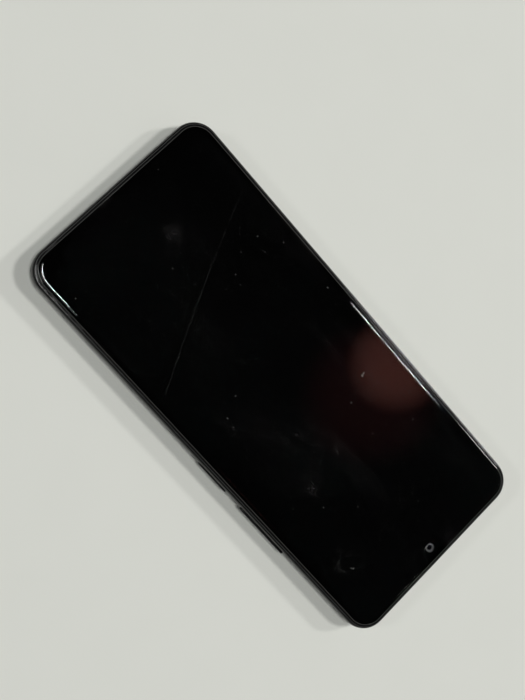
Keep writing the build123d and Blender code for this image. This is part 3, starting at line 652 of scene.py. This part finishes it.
def add_camera_ring():
    """The pale ring that shows round the front camera's lens, just below its clear window."""
    shader = moulded("camera_ring_grey", (0.12, 0.12, 0.125), 0.4, 0.1, 0.002)
    low_z = GLASS_LOW.z + RING_LIFT
    high_z = low_z + RING_THICKNESS
    profile = [(RING_INNER_LOW, low_z), (RING_OUTER, low_z)]
    profile += [(RING_OUTER, high_z), (RING_INNER_HIGH, high_z)]
    dress(turned("front_camera_ring", profile, FRONT_CAMERA), shader)


add_cover_glass()
add_camera_ring()

# ---------------------------------------------------------------- screen protector
PROTECTOR_LOW, PROTECTOR_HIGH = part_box("screen_protector")
PROTECTOR_RADIUS = PLAN_RADIUS - 2.75 * MM
# The sheet's upper edge falls away from flat to a slope in degrees, on an arc of the crown's radius.
PROTECTOR_CROWN = 1.7 * MM
PROTECTOR_SLOPE = 13
PROTECTOR_STEPS = 9
PROTECTOR_CHAMFER = 0.03 * MM
PROTECTOR_SKIN = 0.002 * MM
NOTCH_HALF = 3.6 * MM
NOTCH_FLARE = 1.6 * MM
NOTCH_BOTTOM = 76.4 * MM
NOTCH_ROUND = 2.4 * MM
FLARE_STEPS = 6
ROUND_STEPS = 12


def protector_outline():
    """The protector's outline: a rounded rectangle with a round-bottomed cut-out at the camera."""
    outline = rounded_outline(PROTECTOR_HIGH.x, PROTECTOR_HIGH.y, PROTECTOR_RADIUS)
    top_right = CORNER_STEPS + 1
    top_y = PROTECTOR_HIGH.y
    flare = [(NOTCH_HALF + NOTCH_FLARE, top_y)]
    for step in range(1, FLARE_STEPS + 1):
        angle = math.radians(90 - 90 // FLARE_STEPS * step)
        flare_x = NOTCH_HALF + NOTCH_FLARE * (1 - math.cos(angle))
        flare_y = top_y - NOTCH_FLARE * (1 - math.sin(angle))
        flare.append((flare_x, flare_y))
    arc_radius = (NOTCH_HALF**2 + NOTCH_ROUND**2) / (2 * NOTCH_ROUND)
    reach = math.asin(NOTCH_HALF / arc_radius)
    bottom = []
    for step in range(ROUND_STEPS + 1):
        angle = reach * (1 - 2 * step / ROUND_STEPS)
        bottom.append((arc_radius * math.sin(angle), NOTCH_BOTTOM + arc_radius * (1 - math.cos(angle))))
    mirrored = [(-x, y) for x, y in reversed(flare)]
    notch = [(x + FRONT_CAMERA[0], y) for x, y in flare + bottom + mirrored]
    return outline[:top_right] + notch + outline[top_right:]


def add_protector():
    """A thin clear glass sheet stuck over the front glass, with a crowned edge."""
    shader = clear_glass("protector_glass")
    profile = [(PROTECTOR_CHAMFER, PROTECTOR_LOW.z + PROTECTOR_SKIN)]
    profile.append((0.0, PROTECTOR_LOW.z + PROTECTOR_CHAMFER))
    for step in range(PROTECTOR_STEPS + 1):
        slope = math.radians(PROTECTOR_SLOPE * (1 - step / PROTECTOR_STEPS))
        inset = PROTECTOR_CROWN * (math.sin(math.radians(PROTECTOR_SLOPE)) - math.sin(slope))
        fall = PROTECTOR_CROWN * (1 - math.cos(slope))
        profile.append((inset, PROTECTOR_HIGH.z - PROTECTOR_SKIN - fall))
    profile.append((profile[-1][0] + 0.01 * MM, PROTECTOR_HIGH.z - PROTECTOR_SKIN))
    sheet = bevelled_plate("screen_protector_glass", protector_outline(), profile)
    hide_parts("screen_protector")
    dress(sheet, shader)


add_protector()

# ---------------------------------------------------------------- wear on the protector
# One long scratch as y = a + b x + c x^2 between two x, in mm, broken into slivers of which a share
# is kept, and short marks: place, length and direction in degrees. Dust is scattered with a fixed seed.
SCRATCH_CURVE = (-40.7, 0.4925, 0.00088)
SCRATCH_ENDS = (-32.0, 31.5)
SCRATCH_STEP = 0.55
SCRATCH_KEPT = 0.86
SCRATCH_PALE = 0.13
CHIP_PALE = 0.60
DUST_COUNT = 90
MARKS = [
    (-22.3, 17.1, 1.5, 20), (-21.4, 17.3, 1.3, 95), (-12.6, 21.3, 0.7, 40), (-24.7, 40.9, 0.6, 10),
    (-11.0, 34.2, 0.6, 75), (24.6, 62.9, 0.7, 30), (25.1, 62.2, 0.4, 120), (9.4, 48.6, 0.5, 0),
    (18.2, 40.2, 0.5, 60), (14.9, -8.1, 0.5, 15), (21.9, -4.5, 0.7, 80), (22.4, -1.0, 0.5, 130),
    (20.3, -30.1, 0.5, 45), (2.5, -52.3, 0.6, 100), (-11.7, -37.0, 0.5, 20), (-30.9, -33.8, 0.5, 0),
    (-32.3, -12.7, 0.6, 70), (31.8, -66.0, 0.6, 35),
]


def add_sliver(mesh, x, y, length, width, angle):
    """A flat pointed sliver lying on the protector, in mm."""
    along = Vector((math.cos(angle), math.sin(angle)))
    across = Vector((-along.y, along.x))
    center = Vector((x, y))
    tips = [center - along * length / 2, center + across * width / 2]
    tips += [center + along * length / 2, center - across * width / 2]
    mesh.faces.new([mesh.verts.new((tip.x * MM, tip.y * MM, PROTECTOR_HIGH.z)) for tip in reversed(tips)])


def add_wear_piece(name, slivers, pale):
    """One layer of slivers lying on the protector, with its own paleness."""
    mesh = bmesh.new()
    for sliver in slivers:
        add_sliver(mesh, *sliver)
    data = bpy.data.meshes.new(name)
    mesh.to_mesh(data)
    mesh.free()
    shader = Shader(name + "_pale", (pale, pale, pale), 0.6)
    dim = (pale * 0.4, pale * 0.4, pale * 0.4)
    shader.colour(shader.blend_colour(shader.noise(0.8), dim, (pale, pale, pale * 0.97)))
    dress(link(name, data), shader)


def add_wear():
    """The long scratch, and the chips and dust specks of the protector's face."""
    dice = random.Random(7)
    constant, slope, bend = SCRATCH_CURVE
    scratch = []
    x = SCRATCH_ENDS[0]
    while x < SCRATCH_ENDS[1]:
        y = constant + slope * x + bend * x * x
        if dice.random() < SCRATCH_KEPT:
            angle = math.atan(slope + 2 * bend * x) + math.radians(dice.uniform(-4, 4))
            offset = dice.uniform(-0.03, 0.03)
            length = dice.uniform(0.4, 1.1)
            width = dice.uniform(0.01, 0.04)
            scratch.append((x, y + offset, length, width, angle))
        x += SCRATCH_STEP
    chips = []
    for x, y, length, turn in MARKS:
        chips.append((x, y, length, dice.uniform(0.14, 0.20), math.radians(turn)))
    for _ in range(DUST_COUNT):
        place = (dice.uniform(-34, 34), dice.uniform(-79, 74))
        size = (dice.uniform(0.10, 0.26), dice.uniform(0.06, 0.14))
        chips.append((*place, *size, dice.uniform(0, math.pi)))
    add_wear_piece("protector_scratch", scratch, SCRATCH_PALE)
    add_wear_piece("protector_chips", chips, CHIP_PALE)


add_wear()

# ---------------------------------------------------------------- rear camera window
# The clear spots of the window, as the node behind each and the spot's radius.
REAR_SPOTS = [
    ("main_camera_lens", 3.6 * MM),
    ("ultrawide_camera", 2.6 * MM),
    ("depth_camera", 1.9 * MM),
    ("macro_camera", 1.9 * MM),
    ("flash_diffuser", 2.1 * MM),
]
REAR_WINDOW_RADIUS = 4.75 * MM
LENS_RING_WIDTH = 0.45 * MM
LENS_RING_CHAMFER = 0.1 * MM
LENS_GAP = 0.01 * MM
LENS_COVER_STEP = 0.12 * MM


def middle(node):
    """The middle of a node's box, in X and Y."""
    low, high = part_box(node)
    return ((low.x + high.x) / 2, (low.y + high.y) / 2)


def add_rear_window():
    """The rear window: tinted glass with a clear spot and a metal ring at each camera and the flash."""
    low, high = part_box("camera_window")
    center = middle("camera_window")
    outline = rounded_outline((high.x - low.x) / 2, (high.y - low.y) / 2, REAR_WINDOW_RADIUS)
    outline = [(x + center[0], y + center[1]) for x, y in outline]
    holes = [circle_loop(middle(node), radius) for node, radius in REAR_SPOTS]
    plate = bevelled_plate("rear_camera_window", outline, [(0, low.z), (0, high.z)], holes)
    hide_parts("camera_window")
    dress(plate, MATERIALS["camera_glass"])
    ring_metal = metal("lens_ring_metal", (0.10, 0.10, 0.105), 0.22, (1, 1, 1), 0.15, 0.001)
    spot_glass = clear_glass("rear_clear_glass")
    for node, radius in REAR_SPOTS:
        inner = radius - LENS_RING_WIDTH
        outer = radius - LENS_GAP
        profile = [(inner + LENS_RING_CHAMFER, low.z), (outer, low.z), (outer, high.z)]
        profile += [(inner, high.z), (inner, low.z + LENS_RING_CHAMFER)]
        dress(turned("lens_ring_" + node, profile, middle(node)), ring_metal)
        disc = circle_loop(middle(node), inner - LENS_GAP)
        spot = bevelled_plate("lens_cover_" + node, disc, [(0, low.z + LENS_COVER_STEP), (0, high.z)])
        dress(spot, spot_glass)


add_rear_window()

# ---------------------------------------------------------------- CAD nodes that stay
REPLACED = {"cover_glass", "screen_protector", "camera_window"}


def paint_cad_nodes():
    """Each CAD node that stays gets the material of its record slot."""
    slots = {row["node"]: row["material_slot"] for row in frame["record"]["subparts"]}
    for node, piece in NODES.items():
        if node in REPLACED:
            continue
        piece.data.materials.clear()
        piece.data.materials.append(MATERIALS[slots[node]].material)


paint_cad_nodes()
